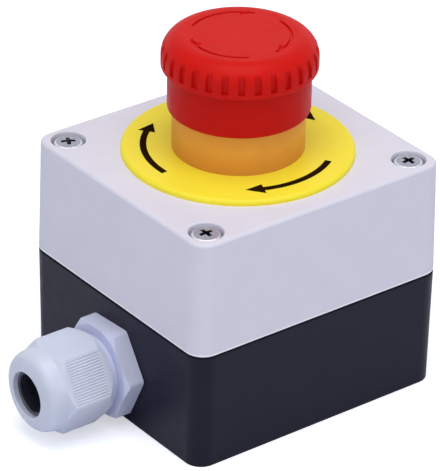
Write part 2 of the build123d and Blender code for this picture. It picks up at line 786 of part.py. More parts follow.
    with BuildPart() as bridge:
        box_between((middle - bridge_width / 2, -bridge_length / 2, bridge_z - bridge_thickness / 2),
                    (middle + bridge_width / 2, bridge_length / 2, bridge_z + bridge_thickness / 2))
        for end in (-1, 1):
            with BuildSketch(Plane(origin=(middle, end * tip_place, bridge_z), z_dir=(0, 0, -facing))):
                Circle(tip_radius)
            extrude(amount=bridge_thickness / 2 + tip_height)
    bridge.part.label = f"{kind}_bridge"
    export_step(bridge.part, f"parts/{kind}_bridge.step")

    with BuildPart() as contact_spring:
        with Locations((middle, 0, 0)):
            add(coil(contact_spring_radius, contact_spring_wire, contact_spring_turns,
                     chamber_floor, plunger_bottom))
    contact_spring.part.label = f"{kind}_spring"
    export_step(contact_spring.part, f"parts/{kind}_spring.step")

# Cable gland: its axis leaves the end wall towards -X, measured from the flange's wall side
gland_flat_radius = gland_across_flats / 2
gland_corner_radius = gland_across_flats / 3**0.5
gland_seat = wall_face(gland_height + gland_corner_radius) + seat_gap
gland_origin = (-gland_seat, 0, gland_height)
gland_axis = Axis(gland_origin, (-1, 0, 0))
gland_out = Plane(origin=gland_origin, x_dir=(0, 1, 0), z_dir=(-1, 0, 0))
gland_section = Plane(origin=gland_origin, x_dir=(0, 0, 1), z_dir=(0, -1, 0))
neck_end = gland_flange + gland_neck_length
finger_end = neck_end + finger_length

# Gland body: hexagon flange, threads on both sides and slit fingers that grip the seal
with BuildPart() as gland_body:
    with BuildSketch(gland_out):
        flange_outline = RegularPolygon(gland_flat_radius, 6, major_radius=False, rotation=gland_angle)
        fillet(flange_outline.vertices(), gland_corner_fillet)
    extrude(amount=gland_flange)
    with BuildSketch(gland_section):
        with BuildLine():
            Polyline(
                (0, 0),
                (gland_corner_radius, 0),
                (gland_corner_radius, gland_flange - gland_flange_chamfer),
                (gland_corner_radius - 2 * gland_flange_chamfer, gland_flange),
                (0, gland_flange),
                close=True,
            )
        make_face()
    revolve(axis=gland_axis, mode=Mode.INTERSECT)
    with BuildSketch(gland_section):
        with BuildLine():
            Polyline(
                (0, -gland_inner_length),
                (gland_thread_radius, -gland_inner_length),
                (gland_thread_radius, neck_end),
                (gland_thread_radius - finger_shoulder, neck_end),
                (gland_bore_radius + finger_tip_wall, finger_end),
                (0, finger_end),
                close=True,
            )
        make_face()
    revolve(axis=gland_axis)
    with BuildSketch(gland_out.offset(-gland_inner_length)):
        Circle(gland_bore_radius)
    extrude(amount=gland_inner_length + finger_end, mode=Mode.SUBTRACT)
    with BuildSketch(gland_out.offset(neck_end)):
        with PolarLocations(gland_bore_radius, finger_count):
            Rectangle(2 * gland_bore_radius, finger_slot)
    extrude(amount=finger_length, mode=Mode.SUBTRACT)
    with BuildSketch(gland_out):
        Circle(gland_washer_radius)
        Circle(gland_thread_radius, mode=Mode.SUBTRACT)
    extrude(amount=gland_washer_groove, mode=Mode.SUBTRACT)
gland_body.part.label = "gland_body"
export_step(gland_body.part, "parts/gland_body.step")

# Flat seal in the flange's recess, against the wall
with BuildPart() as gland_washer:
    with BuildSketch(gland_out):
        Circle(gland_washer_radius - seat_gap)
        Circle(gland_thread_radius + seat_gap, mode=Mode.SUBTRACT)
    extrude(amount=gland_washer_groove - seat_gap)
gland_washer.part.label = "gland_washer"
export_step(gland_washer.part, "parts/gland_washer.step")

# Locknut on the inner thread, against the inside of the wall
locknut_flat_radius = locknut_across_flats / 2
locknut_face = wall_face(gland_height - locknut_flat_radius, wall) - seat_gap
with BuildPart() as gland_locknut:
    with BuildSketch(Plane(origin=(-locknut_face, 0, gland_height), x_dir=(0, 1, 0), z_dir=(1, 0, 0))):
        RegularPolygon(locknut_flat_radius, 6, major_radius=False)
        Circle(gland_thread_radius + thread_clearance, mode=Mode.SUBTRACT)
    extrude(amount=locknut_thickness)
gland_locknut.part.label = "gland_locknut"
export_step(gland_locknut.part, "parts/gland_locknut.step")

# Domed cap nut: hexagon with turned ends and a blunt dome round the mouth
cap_flat_radius = cap_across_flats / 2
cap_corner_radius = cap_across_flats / 3**0.5
cap_rear = gland_flange + cap_gap
cap_front = cap_rear + cap_length
hex_end = cap_rear + cap_hex_length
dome_start = cap_front - cap_dome_length
cone_start = finger_end + cap_travel
with BuildPart() as gland_cap_nut:
    with BuildSketch(gland_out.offset(cap_rear)):
        cap_outline = RegularPolygon(cap_flat_radius, 6, major_radius=False, rotation=cap_angle)
        fillet(cap_outline.vertices(), cap_corner_fillet)
    extrude(amount=cap_hex_length)
    with BuildSketch(gland_section):
        with BuildLine():
            Polyline(
                (0, cap_rear),
                (cap_rear_radius, cap_rear),
                (cap_corner_radius, cap_rear + cap_rear_chamfer),
                (cap_corner_radius, hex_end - cap_front_chamfer),
                (cap_dome_radius, hex_end),
                (0, hex_end),
                close=True,
            )
        make_face()
    revolve(axis=gland_axis, mode=Mode.INTERSECT)
    with BuildSketch(gland_section):
        with BuildLine():
            lip_radius = cap_mouth_radius + cap_lip_radius
            Bezier(
                (cap_dome_radius, dome_start),
                (cap_dome_radius, dome_start + cap_dome_fullness * cap_dome_length),
                (lip_radius + cap_dome_front, cap_front),
                (lip_radius, cap_front),
            )
            Polyline((lip_radius, cap_front), (0, cap_front),
                     (0, dome_start), (cap_dome_radius, dome_start))
        make_face()
    revolve(axis=gland_axis)
    with BuildSketch(gland_section):
        with BuildLine():
            inner_thread = gland_thread_radius + cap_thread_clearance
            lip_start = cap_front - cap_lip_radius
            Polyline((0, cap_rear), (inner_thread, cap_rear), (inner_thread, cone_start),
                     (cap_mouth_radius, cone_start + cap_cone_length), (cap_mouth_radius, lip_start))
            RadiusArc((cap_mouth_radius, lip_start), (lip_radius, cap_front), cap_lip_radius)
            Polyline((lip_radius, cap_front), (0, cap_front), (0, cap_rear))
        make_face()
    revolve(axis=gland_axis, mode=Mode.SUBTRACT)
gland_cap_nut.part.label = "gland_cap_nut"
export_step(gland_cap_nut.part, "parts/gland_cap_nut.step")

# Rubber sleeve in the mouth of the gland
with BuildPart() as gland_seal:
    seal_front = cap_front - seal_front_depth
    seal_step = cone_start
    with BuildSketch(gland_section):
        with BuildLine():
            Polyline(
                (seal_bore_radius, seal_front - seal_length),
                (seal_outer_radius, seal_front - seal_length),
                (seal_outer_radius, seal_step),
                (seal_mouth_radius, seal_step + seal_shoulder),
                (seal_mouth_radius, seal_front),
                (seal_bore_radius + seal_edge_chamfer, seal_front),
                (seal_bore_radius, seal_front - seal_edge_chamfer),
                close=True,
            )
        make_face()
    revolve(axis=gland_axis)
gland_seal.part.label = "gland_seal"
export_step(gland_seal.part, "parts/gland_seal.step")
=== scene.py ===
import json
import math

import bmesh
import bpy
from mathutils import Matrix, Vector


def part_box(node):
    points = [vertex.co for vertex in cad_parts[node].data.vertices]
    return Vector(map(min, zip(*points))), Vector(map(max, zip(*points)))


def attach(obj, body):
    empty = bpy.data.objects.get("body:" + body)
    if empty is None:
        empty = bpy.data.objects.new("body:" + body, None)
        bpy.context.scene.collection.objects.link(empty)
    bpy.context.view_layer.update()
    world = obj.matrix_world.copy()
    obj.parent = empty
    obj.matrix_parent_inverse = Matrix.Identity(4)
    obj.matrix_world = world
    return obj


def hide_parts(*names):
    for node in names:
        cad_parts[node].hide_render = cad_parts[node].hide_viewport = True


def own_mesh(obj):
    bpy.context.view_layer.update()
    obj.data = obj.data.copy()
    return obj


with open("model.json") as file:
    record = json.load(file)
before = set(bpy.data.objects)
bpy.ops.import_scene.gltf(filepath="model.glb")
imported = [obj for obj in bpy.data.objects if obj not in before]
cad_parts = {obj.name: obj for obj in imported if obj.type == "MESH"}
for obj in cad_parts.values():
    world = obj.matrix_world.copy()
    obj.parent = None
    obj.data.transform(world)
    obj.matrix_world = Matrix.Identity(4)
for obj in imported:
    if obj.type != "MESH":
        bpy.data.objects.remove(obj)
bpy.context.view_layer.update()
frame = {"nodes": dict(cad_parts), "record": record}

# Looks of the emergency stop push button, in metres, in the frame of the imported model.
MM = 0.001
nodes = frame["nodes"]
screw_head_radius, screw_head_height = 3.9 * MM, 2.4 * MM


# Meshes

def new_object(name, data):
    """An object for a mesh, a lamp or a camera, in the scene's collection."""
    obj = bpy.data.objects.new(name, data)
    bpy.context.scene.collection.objects.link(obj)
    return obj


def object_from_bmesh(name, bm):
    """An object with the faces of a bmesh, which is used up."""
    mesh = bpy.data.meshes.new(name)
    bm.to_mesh(mesh)
    bm.free()
    return new_object(name, mesh)


def smooth(obj, sharp):
    """Smooth shading, with edges sharper than that angle in degrees kept sharp."""
    obj.data.shade_smooth()
    obj.data.set_sharp_from_angle(angle=math.radians(sharp))
    return obj


def object_from_rings(name, rings, closed=False):
    """A mesh through rings of points, where one point alone is a pole. Closed joins the last to the first."""
    bm = bmesh.new()
    made = [[bm.verts.new(p) for p in ring] for ring in rings]
    pairs = list(zip(made, made[1:] + made[:1] if closed else made[1:]))
    for low, high in pairs:
        count = max(len(low), len(high))
        for i in range(count):
            j = (i + 1) % count
            corners = (low[i % len(low)], low[j % len(low)], high[j % len(high)], high[i % len(high)])
            face = []
            for corner in corners:
                if corner not in face:
                    face.append(corner)
            bm.faces.new(face)
    bmesh.ops.recalc_face_normals(bm, faces=bm.faces)
    return object_from_bmesh(name, bm)


def ease(value, low, high):
    """0 below low, 1 above high and a smooth step between them."""
    t = min(max((value - low) / (high - low), 0.0), 1.0)
    return t * t * (3 - 2 * t)


def steps(low, high, count):
    """Evenly spaced values from low to high, both ends included."""
    return [low + (high - low) * i / count for i in range(count + 1)]


def arc(x, y, radius, first, last, count):
    """Points on a circle about (x, y) from one angle in degrees to another."""
    return [(x + radius * math.cos(a), y + radius * math.sin(a))
            for a in steps(math.radians(first), math.radians(last), count)]


def around(sides):
    """Angles that divide a full turn evenly."""
    return [math.tau * i / sides for i in range(sides)]


def level_ring(radius, height, angles):
    """Points at those angles on a level circle about the Z axis, or one point on the axis itself."""
    if radius == 0.0:
        return [Vector((0, 0, height))]
    return [Vector((radius * math.cos(a), radius * math.sin(a), height)) for a in angles]


# Mushroom head: cap with thirty notches in its rim and three engraved turning arrows

def make_head():
    low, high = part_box("mushroom_head")
    top, bottom = high.z, low.z
    radius, edge, edge_margin, rim = 20.0 * MM, 5.4 * MM, 0.3 * MM, 0.5 * MM
    notches, notch_half, notch_phase = 30, 0.825 * MM, math.radians(5.6)
    notch_floor = radius - 0.95 * MM
    notch_low, notch_dip, dip_height = bottom + 1.5 * MM, 0.55 * MM, 1.4 * MM
    soft = 0.10 * MM
    arrows, arrow_radius, arrow_half, arrow_depth = 3, 12.8 * MM, 0.37 * MM, 0.55 * MM
    arrow_tip, arrow_sweep = math.radians(36.5), math.radians(85.5)
    barb_sweep, barb_width, arrow_wall = math.radians(16.0), 1.7 * MM, 0.6 * soft
    arrow_zone, middle_radii = (13.55 * MM, 10.8 * MM), (9.5 * MM, 7.5 * MM, 5 * MM, 2.5 * MM)
    socket_radius, socket_top = 18.1 * MM, bottom + 2.65 * MM
    relief_radius, relief_top = 16.2 * MM, top - 3.0 * MM

    pitch = math.tau / notches
    edge_angle = notch_half / radius
    soft_angle = soft / radius

    def side_point(r, z, angle):
        """A point of the outer profile, moved inwards and down where a notch is."""
        offset = abs((angle - notch_phase + pitch / 2) % pitch - pitch / 2)
        inside = ease(edge_angle - offset, -soft_angle, soft_angle)
        inside *= ease(z, notch_low - soft, notch_low + soft)
        here = r - inside * max(r - notch_floor, 0.0)
        dip = inside * notch_dip * (1.0 - ease(z, notch_low, notch_low + dip_height))
        return Vector((here * math.cos(angle), here * math.sin(angle), z - dip))

    def top_point(r, angle):
        """A point of the top face, lowered where an arrow is engraved."""
        inner, outer = arrow_radius - arrow_half, arrow_radius + arrow_half
        deepest = 0.0
        for k in range(arrows):
            phi = (angle - arrow_tip - k * math.tau / arrows) % math.tau
            if phi > math.pi + arrow_sweep / 2:
                phi -= math.tau
            band = min(outer - r, r - inner, min(phi, arrow_sweep - phi) * arrow_radius)
            slope = outer - (arrow_half + barb_width) * phi / barb_sweep
            barb = min(outer - r, r - slope, (barb_sweep - phi) * arrow_radius, phi * arrow_radius)
            deepest = max(deepest, ease(max(band, barb), -arrow_wall, arrow_wall))
        return Vector((r * math.cos(angle), r * math.sin(angle), top - deepest * arrow_depth))

    # the columns of the mesh stand close together at the notches' edges
    half = [0.0, 0.5 * edge_angle]
    half += [edge_angle + k * soft_angle for k in (-2, -1, -0.4, 0.4, 1, 2)]
    half += [0.5 * (edge_angle + pitch / 2)]
    offsets = sorted([-a for a in half[1:]] + half + [pitch / 2])
    angles = [notch_phase + k * pitch + a for k in range(notches) for a in offsets]

    # the outer profile runs from the rim's underside, up the side and over the edge
    profile = [(socket_radius, bottom)]
    profile += arc(radius - rim, bottom + rim, rim, -90, 0, 6)
    profile += [(radius, z) for z in steps(notch_low - soft, notch_low + soft, 4)]
    profile += [(radius, z) for z in steps(notch_low + 3 * soft, top - edge, 5)]
    profile += arc(radius - edge, top - edge, edge, 4, 90, 22)
    top_radii = [radius - edge - edge_margin, *steps(*arrow_zone, 34), *middle_radii]

    rings = [level_ring(0.0, relief_top, angles), level_ring(relief_radius, relief_top, angles),
             level_ring(relief_radius, socket_top, angles), level_ring(socket_radius, socket_top, angles)]
    rings += [[side_point(r, z, a) for a in angles] for r, z in profile]
    rings += [[top_point(r, a) for a in angles] for r in top_radii]
    rings.append(level_ring(0.0, top, angles))
    return smooth(object_from_rings("head_cap", rings), sharp=50)


# Cable gland: domed cap nut with ribs on three of its flats

def make_cap_nut():
    low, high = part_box("gland_cap_nut")
    front, rear = -low.x + 0.5 * MM, -high.x
    axis_z = 0.5 * (low.z + high.z)
    flat, corner, tilt = 11.0 * MM, 12.64 * MM, 28
    rear_radius, rear_chamfer, rear_round, round_middle = 10.8 * MM, 3.0 * MM, 0.25 * MM, 0.07 * MM
    hex_end, front_chamfer = rear + 14.5 * MM, 1.8 * MM
    dome_radius, dome_length, dome_gap = 11.0 * MM, 8.4 * MM, 0.1 * MM
    dome_pulls = (1.8 * MM, 1.0 * MM)
    mouth, lip, cone_length = 6.1 * MM, 0.3 * MM, 2.0 * MM
    thread, cone = 9.4 * MM, rear + 12.2 * MM
    ribbed, ribs, rib_pitch, rib_depth, rib_crest = (0, 2, 4), 17, 0.74 * MM, 0.20 * MM, 1.5
    rib_start, rib_end = rear + 2.1 * MM, rear + 13.2 * MM
    rib_fade, rib_run_out = 0.6 * MM, 1.4 * MM
    rib_columns, plain_columns = 8, 18
    half_width = flat * math.tan(math.radians(30))
    half_ribs = 0.5 * ribs * rib_pitch
    sharp_corner = flat / math.cos(math.radians(30))

    def outline(u):
        """Largest radius at a distance along the axis, over the hexagon."""
        behind = rear_radius + (sharp_corner - rear_radius) * (u - rear) / rear_chamfer
        ahead = dome_radius + (sharp_corner - dome_radius) * (hex_end - u) / front_chamfer
        return min(corner, behind, ahead)

    def groove(k, t, u):
        """Depth of the ribs' grooves on a flat."""
        if k not in ribbed or abs(t) > half_ribs:
            return 0.0
        wave = 0.5 - 0.5 * math.cos(math.tau * (t + half_ribs) / rib_pitch)
        ends = ease(u, rib_start, rib_start + rib_fade) * ease(-u, -rib_end, -rib_end + rib_run_out)
        return rib_depth * (1.0 - wave ** rib_crest) * ends

    def point(k, t, u, radius):
        """A point on the nut: on the hexagon, or on a round part where a radius is given."""
        if radius is None:
            y, z = flat - groove(k, t, u), t
            reach, limit = math.hypot(y, z), outline(u)
            if reach > limit:
                y, z = y * limit / reach, z * limit / reach
        else:
            angle = math.atan2(t, flat)
            y, z = radius * math.cos(angle), radius * math.sin(angle)
        # the first flat's normal is tilted from -Y towards +Z
        turn = math.radians(tilt + 60 * k)
        return Vector((-u, -(y * math.cos(turn) - z * math.sin(turn)),
                       axis_z + y * math.sin(turn) + z * math.cos(turn)))

    columns = []
    for k in range(6):
        if k in ribbed:
            across = [-half_width] + steps(-half_ribs, half_ribs, ribs * rib_columns)
        else:
            across = steps(-half_width, half_width, plain_columns)[:-1]
        columns += [(k, t) for t in across]

    # stations along the axis, with a radius where the nut is round
    stations = [(rear, thread), (rear, rear_radius - rear_round),
                (rear + round_middle, rear_radius - round_middle)]
    levels = steps(rear + rear_round, rear + rear_chamfer, 11) + steps(rib_start, rib_start + rib_fade, 6)
    levels += steps(rib_end - rib_run_out, rib_end, 8) + steps(hex_end - front_chamfer, hex_end, 8)
    stations += [(u, None) for u in sorted({round(level, 6) for level in levels})]
    handles = [(dome_radius, 0.0), *((dome_radius, dome_length - pull) for pull in dome_pulls),
               (mouth + lip, dome_length)]
    for t in steps(0.0, 1.0, 40)[1:]:
        weights = ((1 - t) ** 3, 3 * t * (1 - t) ** 2, 3 * t * t * (1 - t), t ** 3)
        r, along = (sum(w * h[i] for w, h in zip(weights, handles)) for i in (0, 1))
        u = front - dome_length + along
        if u > hex_end + dome_gap:
            stations.append((u, r))
    stations += arc(front - lip, mouth + lip, lip, -18, -90, 5)
    stations += [(cone + cone_length, mouth), (cone, thread)]
    rings = [[point(k, t, u, radius) for k, t in columns] for u, radius in stations]
    return smooth(object_from_rings("gland_cap", rings, closed=True), sharp=28)


# Rubber sleeve in the gland's mouth, with a rounded front lip

def make_seal():
    low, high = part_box("gland_seal")
    front, rear = -low.x, -high.x
    axis_z = 0.5 * (low.z + high.z)
    outer, mouth, bore = 6.7 * MM, 6.0 * MM, 4.75 * MM
    cone_rear, cone_front, funnel = front - 5.0 * MM, front - 4.0 * MM, front - 2.0 * MM
    lip, tip = 0.45 * MM, front + 1.3 * MM
    profile = [(bore, rear), (outer, rear), (outer, cone_rear), (mouth, cone_front)]
    profile += arc(mouth - lip, tip - lip, lip, 0, 180, 12)
    profile += [(bore, funnel)]
    rings = [[Vector((-u, r * math.cos(a), axis_z + r * math.sin(a))) for a in around(96)]
             for r, u in profile]
    return smooth(object_from_rings("gland_sleeve", rings, closed=True), sharp=40)


# Cover screws: pan heads with a cross recess, on threaded shanks

def screw_blank(crown):
    """A screw without its recess, with its head's underside at the origin."""
    shank, length, point_chamfer = 2.0 * MM, 36.0 * MM, 0.5 * MM
    pitch, thread_depth, thread_start, thread_end = 0.7 * MM, 0.28 * MM, 0.4 * MM, 0.6 * MM
    neck_depth, neck_height, brim = 0.02 * MM, 0.25 * MM, 0.15 * MM
    top_radius, top_rise = 2.7 * MM, 0.3 * MM
    inner = screw_head_radius - crown
    profile = [(0.0, -length), (shank - point_chamfer, -length)]
    z = -length + thread_start
    while z < -thread_end:
        profile += [(shank - thread_depth, z), (shank, z + 0.5 * pitch)]
        z += pitch
    profile += [(shank - neck_depth, -neck_height), (shank, 0.0), (screw_head_radius - brim, 0.0),
                (screw_head_radius, brim), (screw_head_radius, screw_head_height - crown)]
    profile += arc(inner, screw_head_height - crown, crown, 12, 90, 7)
    profile += [(r, screw_head_height + top_rise * (1 - (r / inner) ** 2))
                for r in steps(top_radius, 0.0, 5)]
    angles = around(72)
    return object_from_rings("screw_blank", [level_ring(r, height, angles) for r, height in profile])


def recess_cutter(turn, arm, half, floor):
    """A tapered bar for one stroke of the cross, turned by an angle in degrees."""
    past_arm, past_half, past_top = 0.15 * MM, 0.06 * MM, 0.6 * MM
    low_arm, low_half = 0.8 * MM, 0.45
    bm = bmesh.new()
    top, bottom = [], []
    for x, y in ((-1, -1), (1, -1), (1, 1), (-1, 1)):
        top.append(bm.verts.new((x * (arm + past_arm), y * (half + past_half), screw_head_height + past_top)))
        bottom.append(bm.verts.new((x * low_arm, y * half * low_half, floor)))
    bm.faces.new(top)
    bm.faces.new(list(reversed(bottom)))
    for i in range(4):
        j = (i + 1) % 4
        bm.faces.new([top[j], top[i], bottom[i], bottom[j]])
    bmesh.ops.recalc_face_normals(bm, faces=bm.faces)
    bmesh.ops.rotate(bm, verts=bm.verts, matrix=Matrix.Rotation(math.radians(turn), 3, "Z"))
    return object_from_bmesh(f"recess_{turn}", bm)


def screw_mesh():
    """One screw as a bmesh. Its recess shows the second material, a painted shade, and its head's rounded
    edge the third, a painted highlight.
    """
    crown = 0.8 * MM
    arm, half, floor = 1.95 * MM, 0.52 * MM, screw_head_height - 1.7 * MM
    steep, floor_margin = 0.9, 0.05 * MM
    blank = screw_blank(crown)
    cutters = [recess_cutter(turn, arm, half, floor) for turn in (0, 90)]
    for cutter in cutters:
        cut = blank.modifiers.new("recess", "BOOLEAN")
        cut.operation = "DIFFERENCE"
        cut.solver = "EXACT"
        cut.object = cutter
    result = bmesh.new()
    result.from_object(blank, bpy.context.evaluated_depsgraph_get())
    for face in result.faces:
        place = face.calc_center_median()
        reach = math.hypot(place.x, place.y)
        on_wall = abs(face.normal.z) < steep and reach < arm
        on_floor = abs(place.z - floor) < floor_margin
        # the recess's walls and floor take the painted shade
        if place.z > 0 and (on_wall or on_floor):
            face.material_index = 1
        # the head's rounded edge takes the painted highlight
        elif place.z > screw_head_height - crown and reach > screw_head_radius - crown:
            face.material_index = 2
    for spare in cutters + [blank]:
        bpy.data.objects.remove(spare)
    return result


def make_screws():
    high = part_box("cover_screws")[1]
    seat = high.z - screw_head_height
    x, y = high.x - screw_head_radius, high.y - screw_head_radius
    one = screw_mesh()
    whole = bmesh.new()
    # the crosses stand as the screws were left, by an angle in degrees
    for side_x, side_y, turn in ((-1, -1, 1), (1, -1, 4), (-1, 1, 63), (1, 1, 35)):
        mesh = bpy.data.meshes.new("screw")
        one.to_mesh(mesh)
        place = Matrix.Translation((side_x * x, side_y * y, seat))
        mesh.transform(place @ Matrix.Rotation(math.radians(turn), 4, "Z"))
        whole.from_mesh(mesh)
        bpy.data.meshes.remove(mesh)
    one.free()
    return smooth(object_from_bmesh("cover_screws_cross", whole), sharp=30)


# Compression springs with a closed turn at each end

def make_spring(node, wire, active):
    low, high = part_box(node)
    middle = 0.5 * (low + high)
    radius = 0.5 * (high.x - low.x) - 0.5 * wire
    turns, per_turn, sides = active + 2, 40, 12
    # the closed turns and the last turn's own wire take three wires of the height
    pitch = (high.z - low.z - 3 * wire) / active
    rings = []
    for i in range(turns * per_turn + 1):
        turned = i / per_turn
        closed = min(turned, 1) + max(turned - turns + 1, 0)
        rise = wire * closed + pitch * min(max(turned - 1, 0), active)
        slope = (pitch if 1 < turned < turns - 1 else wire) / math.tau
        angle = math.tau * turned
        outwards = Vector((math.cos(angle), math.sin(angle), 0))
        along = Vector((-math.sin(angle) * radius, math.cos(angle) * radius, slope)).normalized()
        upwards = outwards.cross(along)
        centre = Vector((middle.x, middle.y, low.z + 0.5 * wire + rise)) + radius * outwards
        rings.append([centre + 0.5 * wire * (math.cos(b) * outwards + math.sin(b) * upwards)
                      for b in around(sides)])
    first, last = ([sum(ring, Vector()) / sides] for ring in (rings[0], rings[-1]))
    return smooth(object_from_rings(f"{node}_coil", [first] + rings + [last]), sharp=50)


# Printed turning arrows on the legend plate

def make_legend_marks():
    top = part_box("legend_ring")[1].z
    radius, half, thickness = 24.2 * MM, 0.85 * MM, 0.04 * MM
    head_half, head_sweep, sweep = 2.3 * MM, math.radians(11), math.radians(66)
    bm = bmesh.new()
    for middle in (-90, 30, 150):
        tip = math.radians(middle) - sweep / 2
        neck, tail = tip + head_sweep, tip + sweep
        line = [(radius + half, a) for a in steps(tail, neck, 30)]
        line += [(radius + head_half, neck), (radius, tip), (radius - head_half, neck)]
        line += [(radius - half, a) for a in steps(neck, tail, 30)]
        face = bm.faces.new([bm.verts.new((r * math.cos(a), r * math.sin(a), top)) for r, a in line])
        raised = bmesh.ops.extrude_face_region(bm, geom=[face])
        lifted = [v for v in raised["geom"] if isinstance(v, bmesh.types.BMVert)]
        bmesh.ops.translate(bm, verts=lifted, vec=(0, 0, thickness))
    bmesh.ops.triangulate(bm, faces=[f for f in bm.faces if len(f.verts) > 4])
    bmesh.ops.recalc_face_normals(bm, faces=bm.faces)
    return object_from_bmesh("legend_marks", bm)


# Materials

class Finish:
    """A material whose colour, roughness and relief come from nodes."""

    # sockets of a Mix node that mixes colours
    MIX_FACTOR, MIX_FIRST, MIX_SECOND, MIX_RESULT = 0, 6, 7, 2

    def __init__(self, name, roughness, metallic=0.0, specular=0.5):
        self.material = bpy.data.materials.new(name)
        self.material.use_nodes = True
        self.tree = self.material.node_tree
        self.shader = self.tree.nodes["Principled BSDF"]
        self.shader.inputs["Metallic"].default_value = metallic
        self.shader.inputs["Roughness"].default_value = roughness
        self.shader.inputs["Specular IOR Level"].default_value = specular
        self.place = self.node("ShaderNodeTexCoord").outputs["Object"]
        self.relief = None

    def node(self, kind, **settings):
        made = self.tree.nodes.new(kind)
        for key, value in settings.items():
            setattr(made, key, value)
        return made

    def link(self, output, target):
        self.tree.links.new(output, target)

    def calculate(self, operation, *values):
        """What a Math node makes of sockets and numbers."""
        made = self.node("ShaderNodeMath", operation=operation)
        for value, target in zip(values, made.inputs):
            if isinstance(value, bpy.types.NodeSocket):
                self.link(value, target)
            else:
                target.default_value = value
        return made.outputs[0]

    def noise(self, size, detail=3.0, stretch=None):
        """Noise whose grains are about that size in metres."""
        texture = self.node("ShaderNodeTexNoise")
        texture.inputs["Scale"].default_value = 1.0 / size
        texture.inputs["Detail"].default_value = detail
        source = self.place
        if stretch:
            mapping = self.node("ShaderNodeMapping")
            mapping.inputs["Scale"].default_value = stretch
            self.link(self.place, mapping.inputs["Vector"])
            source = mapping.outputs["Vector"]
        self.link(source, texture.inputs["Vector"])
        return texture.outputs["Fac"]

    def ramp(self, source, low, high, values):
        """A value between two values as the source goes from low to high."""
        made = self.node("ShaderNodeMapRange")
        made.inputs["From Min"].default_value = low
        made.inputs["From Max"].default_value = high
        made.inputs["To Min"].default_value, made.inputs["To Max"].default_value = values
        self.link(source, made.inputs["Value"])
        return made.outputs["Result"]

    def level(self):
        """Height above the floor."""
        split = self.node("ShaderNodeSeparateXYZ")
        self.link(self.place, split.inputs[0])
        return split.outputs["Z"]

    def line(self, height, half):
        """1 on a level line of that half width, 0 off it, with soft edges."""
        away = self.calculate("ABSOLUTE", self.calculate("SUBTRACT", self.level(), height))
        return self.ramp(away, 0.6 * half, 1.4 * half, (1.0, 0.0))

    def colour(self, source, first, second, low=0.35, high=0.65):
        """Base colour between two colours as the source goes from low to high."""
        blend = self.node("ShaderNodeValToRGB")
        for element, position, shade in zip(blend.color_ramp.elements, (low, high), (first, second)):
            element.position = position
            element.color = (*shade, 1.0)
        self.link(source, blend.inputs["Fac"])
        self.link(blend.outputs["Color"], self.shader.inputs["Base Color"])

    def tint(self, mask, colour):
        """Another base colour where the mask is 1."""
        mix = self.node("ShaderNodeMix", data_type="RGBA")
        target = self.shader.inputs["Base Color"]
        self.link(mask, mix.inputs[self.MIX_FACTOR])
        self.link(target.links[0].from_socket, mix.inputs[self.MIX_FIRST])
        mix.inputs[self.MIX_SECOND].default_value = (*colour, 1.0)
        self.link(mix.outputs[self.MIX_RESULT], target)

    def rough(self, source, values, low=0.3, high=0.7):
        """Roughness between two values as the source goes from low to high."""
        self.link(self.ramp(source, low, high, values), self.shader.inputs["Roughness"])

    def dull(self, amount):
        """More roughness, by an amount that comes from a node."""
        target = self.shader.inputs["Roughness"]
        self.link(self.calculate("ADD", target.links[0].from_socket, amount), target)

    def bump(self, source, depth, strength=1.0):
        """Relief of that depth in metres, on top of any before it."""
        made = self.node("ShaderNodeBump")
        made.inputs["Strength"].default_value = strength
        made.inputs["Distance"].default_value = depth
        self.link(source, made.inputs["Height"])
        if self.relief:
            self.link(self.relief, made.inputs["Normal"])
        self.relief = made.outputs["Normal"]
        self.link(self.relief, self.shader.inputs["Normal"])

    def scatter(self, amount, radius, scale):
        """Light that goes into the plastic and comes out nearby."""
        self.shader.inputs["Subsurface Weight"].default_value = amount
        self.shader.inputs["Subsurface Radius"].default_value = radius
        self.shader.inputs["Subsurface Scale"].default_value = scale


def shade_of(colour, factor):
    return tuple(min(c * factor, 1.0) for c in colour)


def moulded(name, colour, roughness, grain=0.25 * MM, relief=0.004 * MM, specular=0.2, mottle=0.05,
            uneven=0.05):
    """Moulded plastic: a fine spark-eroded grain, faint mottling and uneven gloss."""
    cloud_size, gloss_size, wave_size = 9 * MM, 3 * MM, 14 * MM
    wave_depth, wave_strength = 0.02 * MM, 0.6
    made = Finish(name, roughness, specular=specular)
    made.colour(made.noise(cloud_size, 4.0), shade_of(colour, 1.0 - mottle), shade_of(colour, 1.0 + mottle))
    made.rough(made.noise(gloss_size), (roughness - uneven, roughness + 1.2 * uneven))
    made.bump(made.noise(grain, 2.0), relief)
    made.bump(made.noise(wave_size, 2.0), wave_depth, wave_strength)
    return made


def metal(name, colour, roughness, stretch=(1.0, 1.0, 1.0), metallic=1.0, specular=0.5):
    """Plated or drawn metal: fine lines along one direction and cloudy gloss."""
    cloud_size, gloss_size, line_size, line_depth = 1.2 * MM, 0.8 * MM, 0.12 * MM, 0.003 * MM
    darkest, lightest, smoother, rougher = 0.86, 1.08, 0.08, 0.1
    made = Finish(name, roughness, metallic, specular)
    made.colour(made.noise(cloud_size, 4.0), shade_of(colour, darkest), shade_of(colour, lightest))
    made.rough(made.noise(gloss_size), (roughness - smoother, roughness + rougher))
    made.bump(made.noise(line_size, 2.0, stretch), line_depth)
    return made


